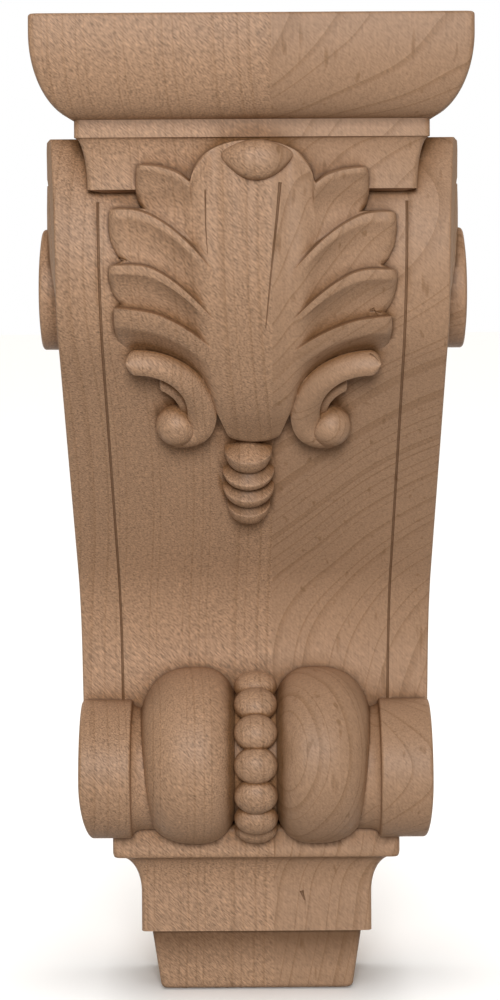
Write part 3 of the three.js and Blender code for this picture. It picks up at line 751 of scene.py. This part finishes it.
def mark(name, width, line):
    """A tapering cutter along the surface, found by looking at it from in front."""
    bpy.context.view_layer.update()
    corners = np.array(line)
    points = []
    for place in np.linspace(0, len(line) - 1, MARK_STEPS * len(line)):
        x = float(np.interp(place, range(len(line)), corners[:, 0]))
        level = float(np.interp(place, range(len(line)), corners[:, 1]))
        hit, spot, _, _ = corbel.ray_cast(at(x, MARK_START, level), (0, 1, 0))
        if hit:
            points.append(tuple(spot))
    return gouge(name, points, width, width * MARK_TAPER)


def clear_slivers(piece):
    """Closes up the finest splinters and takes away what the cuts left loose."""
    shaped = bmesh.new()
    shaped.from_mesh(piece.data)
    bmesh.ops.remove_doubles(shaped, verts=shaped.verts, dist=SLIVER)
    bmesh.ops.dissolve_degenerate(shaped, edges=shaped.edges, dist=SLIVER)
    seen, loose = set(), []
    for start in shaped.verts:
        if start in seen:
            continue
        shell, edge = {start}, [start]
        while edge:
            for line in edge.pop().link_edges:
                for near in line.verts:
                    if near not in shell:
                        shell.add(near)
                        edge.append(near)
        seen |= shell
        if len(shell) < LOOSE_POINTS:
            loose += shell
    bmesh.ops.delete(shaped, geom=loose, context="VERTS")
    shaped.to_mesh(piece.data)
    shaped.free()


for name, width, line in MARKS:
    combine(corbel, [mark(name, width, line)], "DIFFERENCE")
clear_slivers(corbel)

# The finish: the carving is sanded and left bare, with painted shade in creases and in sheltered
# places. The boards show where they were glued: straight fine grain with a slanting hatch on
# the left one, open curved figure on the right one. Its sizes are metres.
JOINT_RIGHT, JOINT_LEFT, END_BOARD_SHIFT = 0.0067, -0.0700, 0.0137
LIGHT_WOOD, DARK_WOOD = (0.396, 0.243, 0.150, 1), (0.25, 0.138, 0.070, 1)
# Painted shade: the crease colour is the shade that creases get, the sheltered colour the shade of
# shut-in places.
PAINTED_CREASE_SHADE, PAINTED_OCCLUSION_SHADE = (0.085, 0.036, 0.011, 1), (0.6, 0.5, 0.37, 1)
ROUGHNESS, SPECULAR, BUMP_STRENGTH, BUMP_DISTANCE = 0.55, 0.3, 0.12, 0.0006
SMOOTH_ANGLE = math.radians(34)
CREASE_SHADE_GAIN, CREASE_SHADE_LEAST, CREASE_SHADE_REACH = 5.0, -0.6, 0.0012
# Rays that measure how shut in each point is, for painted shade.
OCCLUSION_REACH, OCCLUSION_LIFT, OCCLUSION_RAYS, GOLDEN_TURN = 0.026, 0.0004, 24, 2.39996


def point_values(mesh, field):
    values = np.empty(len(mesh.vertices) * 3)
    mesh.vertices.foreach_get(field, values)
    return values.reshape(-1, 3)


def store(mesh, name, values):
    stored = mesh.attributes.new(name, "FLOAT", "POINT")
    stored.data.foreach_set("value", values.astype(np.float32))


def mark_crease_shade(mesh):
    """Stores how deep each point lies in a crease, for the painted shade laid there."""
    places = point_values(mesh, "co")
    normals = point_values(mesh, "normal")
    pairs = np.empty(len(mesh.edges) * 2, np.int64)
    mesh.edges.foreach_get("vertices", pairs)
    one, two = pairs.reshape(-1, 2).T
    apart = places[two] - places[one]
    length = np.maximum(np.linalg.norm(apart, axis=1), NO_LENGTH)
    apart /= length[:, None]
    bend = np.zeros(len(places))
    met = np.zeros(len(places))
    np.add.at(bend, one, np.einsum("ij,ij->i", apart, normals[one]))
    np.add.at(bend, two, -np.einsum("ij,ij->i", apart, normals[two]))
    np.add.at(met, one, 1)
    np.add.at(met, two, 1)
    hollow = np.clip(bend / np.maximum(met, 1) * CREASE_SHADE_GAIN, CREASE_SHADE_LEAST, 1.0)
    near = np.exp(-length / CREASE_SHADE_REACH)
    gathered = hollow.copy()
    weight = np.ones(len(places))
    np.add.at(gathered, one, near * hollow[two])
    np.add.at(gathered, two, near * hollow[one])
    np.add.at(weight, one, near)
    np.add.at(weight, two, near)
    store(mesh, "hollow", gathered / weight)


def mark_occlusion_shade(mesh):
    """Stores how much of the open air before each point is shut off by the carving near it, for painted
    shade.
    """
    shell = BVHTree.FromPolygons([point.co for point in mesh.vertices],
                                 [face.vertices for face in mesh.polygons])
    aims = []
    for ray in range(OCCLUSION_RAYS):
        wide = math.sqrt((ray + 0.5) / OCCLUSION_RAYS)
        turn = ray * GOLDEN_TURN
        aims.append((wide * math.cos(turn), wide * math.sin(turn), math.sqrt(1 - wide ** 2)))
    closed = np.zeros(len(mesh.vertices))
    for number, point in enumerate(mesh.vertices):
        outward = point.normal
        first = outward.orthogonal().normalized()
        second = outward.cross(first)
        start = point.co + outward * OCCLUSION_LIFT
        for across, up, ahead in aims:
            aim = first * across + second * up + outward * ahead
            away = shell.ray_cast(start, aim, OCCLUSION_REACH)[3]
            if away is not None:
                closed[number] += 1 - away / OCCLUSION_REACH
    store(mesh, "occlusion_shade", closed / OCCLUSION_RAYS)


corbel.name = "corbel_carved"
corbel.data.name = "corbel_carved"
corbel.data.shade_smooth()
corbel.data.set_sharp_from_angle(angle=SMOOTH_ANGLE)
# Stored values that steer the painted shade of the finish.
mark_crease_shade(corbel.data)
mark_occlusion_shade(corbel.data)

STRAIGHT_RINGS = {"centre_x": -0.32, "centre_y": -0.085, "lean": 0.02, "sway": 0.004}
CURVED_RINGS = {"centre_x": 0.12, "centre_y": 0.045, "lean": 0.22, "sway": 0.02}
YEARS_PER_METRE, YEAR_WANDER, YEAR_NOISE = 190.0, 3.0, (90.0, 2.0, 0.5)
WANDER = {"scales": (9, 9, 5), "detail": 2, "rough": 0.5, "seed": 3.1}
FIBRE = {"scales": (1500, 1500, 45), "detail": 3, "rough": 0.6, "seed": 7.3}
PORES = {"scales": (1000, 1000, 420), "detail": 2, "rough": 0.6, "seed": 11.9}
HATCH = {"scales": (2600, 2600, 520), "detail": 1, "rough": 0.5, "seed": 17.3,
         "lean": math.radians(45)}
CLOUD = {"scales": (14, 14, 6), "detail": 2, "rough": 0.5, "seed": 5.7}
FLECK = {"scales": (330, 330, 48), "detail": 1, "rough": 0.5, "seed": 2.3}
SEED_STEPS = (1.0, 1.7, 0.6)
FIBRE_SHARE, PORE_SHARE, CLOUD_SHARE = 0.34, 0.35, 0.26
YEAR_LINE_SHARE, HATCH_SHARE, BOARD_TONE = (0.38, 0.5), (1.65, 0.65), (1.0, 0.96)
YEAR_LINE_RANGE, FLECK_RANGE = (0.72, 0.98), (0.67, 0.76, 0.7)
OCCLUSION_SHADE_RANGE, CREASE_SHADE_RANGE = (0.13, 0.5), (0.18, 0.8, 0.72)


def bare_maple(material):
    """Maple cut from two boards: rings round each board's own heart, fibre, pores and flecks, with
    painted shade in creases and shut-in places.
    """
    material.use_nodes = True
    nodes, link = material.node_tree.nodes, material.node_tree.links.new
    shader = nodes["Principled BSDF"]
    shader.inputs["Roughness"].default_value = ROUGHNESS
    shader.inputs["Specular IOR Level"].default_value = SPECULAR

    def feed(socket, value):
        if isinstance(value, (int, float, tuple)):
            socket.default_value = value
        else:
            link(value, socket)

    def number(operation, *values):
        made = nodes.new("ShaderNodeMath")
        made.operation = operation
        for socket, value in zip(made.inputs, values):
            feed(socket, value)
        return made.outputs[0]

    def blend(share, first, second, mode="MIX"):
        made = nodes.new("ShaderNodeMix")
        made.data_type, made.blend_type = "RGBA", mode
        for socket, value in zip((made.inputs[0], made.inputs[6], made.inputs[7]),
                                 (share, first, second)):
            feed(socket, value)
        return made.outputs[2]

    def ramp(value, low, high, top=1.0, kind="LINEAR"):
        made = nodes.new("ShaderNodeMapRange")
        made.interpolation_type = kind
        made.inputs["From Min"].default_value = low
        made.inputs["From Max"].default_value = high
        made.inputs["To Max"].default_value = top
        link(value, made.inputs["Value"])
        return made.outputs["Result"]

    def stored_value(name):
        made = nodes.new("ShaderNodeAttribute")
        made.attribute_name = name
        return made.outputs["Fac"]

    place = nodes.new("ShaderNodeTexCoord").outputs["Object"]
    split = nodes.new("ShaderNodeSeparateXYZ")
    link(place, split.inputs["Vector"])
    x, y, z = split.outputs
    on_right = number("GREATER_THAN", x, JOINT_RIGHT)
    on_end = number("LESS_THAN", x, JOINT_LEFT)

    def by_board(left, right):
        return number("MULTIPLY_ADD", on_right, right - left, left)

    def grain_noise(scales, detail, rough, seed, lean=0.0):
        leaning = nodes.new("ShaderNodeMapping")
        leaning.inputs["Rotation"].default_value = (0, lean, 0)
        link(place, leaning.inputs["Vector"])
        mapping = nodes.new("ShaderNodeMapping")
        mapping.inputs["Scale"].default_value = scales
        mapping.inputs["Location"].default_value = [seed * step for step in SEED_STEPS]
        link(leaning.outputs["Vector"], mapping.inputs["Vector"])
        noise = nodes.new("ShaderNodeTexNoise")
        noise.inputs["Scale"].default_value = 1.0
        noise.inputs["Detail"].default_value = detail
        noise.inputs["Roughness"].default_value = rough
        link(mapping.outputs["Vector"], noise.inputs["Vector"])
        return noise.outputs["Fac"]

    wander = number("SUBTRACT", grain_noise(**WANDER), 0.5)

    def rings(centre_x, centre_y, lean, sway):
        across = number("SUBTRACT", x, centre_x)
        deep = number("SUBTRACT", y, number("MULTIPLY_ADD", z, lean, centre_y))
        square = number("ADD", number("MULTIPLY", across, across), number("MULTIPLY", deep, deep))
        return number("MULTIPLY_ADD", wander, sway, number("SQRT", square))

    away = number("ADD", number("MULTIPLY", rings(**STRAIGHT_RINGS), number("SUBTRACT", 1.0, on_right)),
                  number("MULTIPLY", rings(**CURVED_RINGS), on_right))
    away = number("MULTIPLY_ADD", on_end, END_BOARD_SHIFT, away)
    uneven = nodes.new("ShaderNodeTexNoise")
    uneven.noise_dimensions = "1D"
    for label, value in zip(("Scale", "Detail", "Roughness"), YEAR_NOISE):
        uneven.inputs[label].default_value = value
    link(away, uneven.inputs["W"])
    year = number("FRACT", number("MULTIPLY_ADD", uneven.outputs["Fac"], YEAR_WANDER,
                                  number("MULTIPLY", away, YEARS_PER_METRE)))
    year_line = ramp(year, *YEAR_LINE_RANGE, kind="SMOOTHSTEP")
    colour = blend(number("MULTIPLY", year_line, by_board(*YEAR_LINE_SHARE)), LIGHT_WOOD, DARK_WOOD)
    fleck = ramp(grain_noise(**FLECK), *FLECK_RANGE)
    colour = blend(number("MULTIPLY", fleck, on_right), colour, DARK_WOOD)
    fibre = grain_noise(**FIBRE)
    grey = by_board(*BOARD_TONE)
    for grain, share in ((fibre, FIBRE_SHARE), (grain_noise(**PORES), PORE_SHARE),
                         (grain_noise(**HATCH), by_board(*HATCH_SHARE)),
                         (grain_noise(**CLOUD), CLOUD_SHARE)):
        grey = number("MULTIPLY_ADD", number("SUBTRACT", grain, 0.5), share, grey)
    shade = nodes.new("ShaderNodeCombineColor")
    for socket in shade.inputs:
        link(grey, socket)
    colour = blend(1.0, colour, shade.outputs[0], "MULTIPLY")
    # Painted shade: a darker, warmer tone where the carving shuts off the open air.
    colour = blend(ramp(stored_value("occlusion_shade"), *OCCLUSION_SHADE_RANGE), colour, PAINTED_OCCLUSION_SHADE, "MULTIPLY")
    # Painted shade: deep brown laid in the creases.
    colour = blend(ramp(stored_value("hollow"), *CREASE_SHADE_RANGE), colour, PAINTED_CREASE_SHADE)
    link(colour, shader.inputs["Base Color"])
    bump = nodes.new("ShaderNodeBump")
    bump.inputs["Strength"].default_value = BUMP_STRENGTH
    bump.inputs["Distance"].default_value = BUMP_DISTANCE
    link(fibre, bump.inputs["Height"])
    link(bump.outputs["Normal"], shader.inputs["Normal"])


bare_maple(maple)
corbel.data.materials.clear()
corbel.data.materials.append(maple)
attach(corbel, "root")
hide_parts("corbel")

# The studio: a plain pale floor under a white backdrop, and one wide light in front and above.
# Soft suns light the floor alone, and the sides and back of the corbel alone.
# The viewpoint is about a metre out from the wall, a little below the cap.
ROOM_LIGHT, KEY_LIGHT, SIDE_LIGHT, FLOOR_LIGHT = 0.12, 98.5, 2.2, 3.95
ROOM_COLOUR, BACKDROP_COLOUR = (1.0, 0.76, 0.46, 1), (1, 1, 1, 1)
FLOOR_COLOUR, FLOOR_HALF, FLOOR_GAP = (0.93, 0.93, 0.93, 1), 6, 0.0004
KEY_SIZE, KEY_PLACE, KEY_TILT = 1.0, (0.0, -3.2, 1.05), math.radians(73)
SUN_WIDTH, FLOOR_SUN_TILT = math.radians(50), math.radians(15)
SIDE_SUN_TILT, SIDE_SUN_SWING = math.radians(65), math.radians(145)
LENS_LENGTH, SENSOR_WIDTH, LENS_SHIFT = 89.96, 36, (-0.0025, -0.272)
VIEW_PLACE, VIEW_ROLL = (0, -1.0024, 0.11055), math.radians(0.35)

floor_level = -HEIGHT / 2 * TO_METRES - FLOOR_GAP
floor = solid("floor", [(x * FLOOR_HALF, y * FLOOR_HALF, floor_level)
                        for x, y in ((-1, -1), (1, -1), (1, 1), (-1, 1))], [(0, 1, 2, 3)])
pale = bpy.data.materials.new("pale_floor")
pale.use_nodes = True
pale.node_tree.nodes["Principled BSDF"].inputs["Base Color"].default_value = FLOOR_COLOUR
floor.data.materials.append(pale)
floor.visible_diffuse = False

world = bpy.data.worlds.new("studio")
bpy.context.scene.world = world
world.use_nodes = True
sky, sky_link = world.node_tree.nodes, world.node_tree.links.new
room = sky["Background"]
room.inputs["Color"].default_value = ROOM_COLOUR
room.inputs["Strength"].default_value = ROOM_LIGHT
backdrop = sky.new("ShaderNodeBackground")
backdrop.inputs["Color"].default_value = BACKDROP_COLOUR
choice = sky.new("ShaderNodeMixShader")
sky_link(sky.new("ShaderNodeLightPath").outputs["Is Camera Ray"], choice.inputs["Fac"])
sky_link(room.outputs["Background"], choice.inputs[1])
sky_link(backdrop.outputs["Background"], choice.inputs[2])
sky_link(choice.outputs["Shader"], sky["World Output"].inputs["Surface"])

key = bpy.data.lights.new("key", "AREA")
key.energy, key.size = KEY_LIGHT, KEY_SIZE
key_stand = added("key", key)
key_stand.location = KEY_PLACE
key_stand.rotation_euler = (KEY_TILT, 0, 0)


def soft_sun(name, energy, tilt, swing, receiver):
    """A wide sun that lights one thing alone: the floor, or the hidden sides of the corbel."""
    lamp = bpy.data.lights.new(name, "SUN")
    lamp.energy, lamp.angle = energy, SUN_WIDTH
    sun = added(name, lamp)
    sun.rotation_euler = (tilt, 0, swing)
    sun.visible_glossy = False
    receivers = bpy.data.collections.new(name + "_on")
    receivers.objects.link(receiver)
    sun.light_linking.receiver_collection = receivers


soft_sun("floor_light", FLOOR_LIGHT, FLOOR_SUN_TILT, 0, floor)
for swing in (-SIDE_SUN_SWING, SIDE_SUN_SWING):
    soft_sun("side_light", SIDE_LIGHT, SIDE_SUN_TILT, swing, corbel)

lens = bpy.data.cameras.new("viewpoint")
lens.lens, lens.sensor_width = LENS_LENGTH, SENSOR_WIDTH
lens.shift_x, lens.shift_y = LENS_SHIFT
viewpoint = added("viewpoint", lens)
viewpoint.location = VIEW_PLACE
viewpoint.rotation_euler = (math.pi / 2, VIEW_ROLL, 0)
bpy.context.scene.camera = viewpoint
bpy.context.scene.view_settings.view_transform = "Standard"
